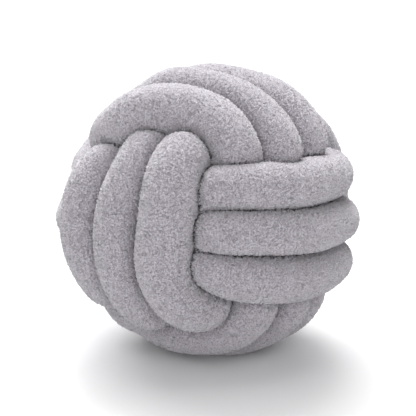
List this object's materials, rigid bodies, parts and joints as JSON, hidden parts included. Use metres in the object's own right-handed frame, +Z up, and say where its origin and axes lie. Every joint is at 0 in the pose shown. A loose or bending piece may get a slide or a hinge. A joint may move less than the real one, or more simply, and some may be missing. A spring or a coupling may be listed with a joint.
{
  "type": "knot cushion",
  "caption": "Round cushion made of a long stuffed fleece tube tied on itself into a ball.",
  "frame": {"origin": "on the floor plane, under the middle of the ball", "axes": "+Z up from the pressed flat foot; the side with the upright strands on the left and the level ones on the right faces -Y"},
  "size_m": [0.2998, 0.2986, 0.2826],
  "materials": {
    "fleece": "short nubby pile, matt, lavender grey"
  },
  "bodies": {
    "root": {"knot_tube": "fleece"}
  },
  "joints": []
}
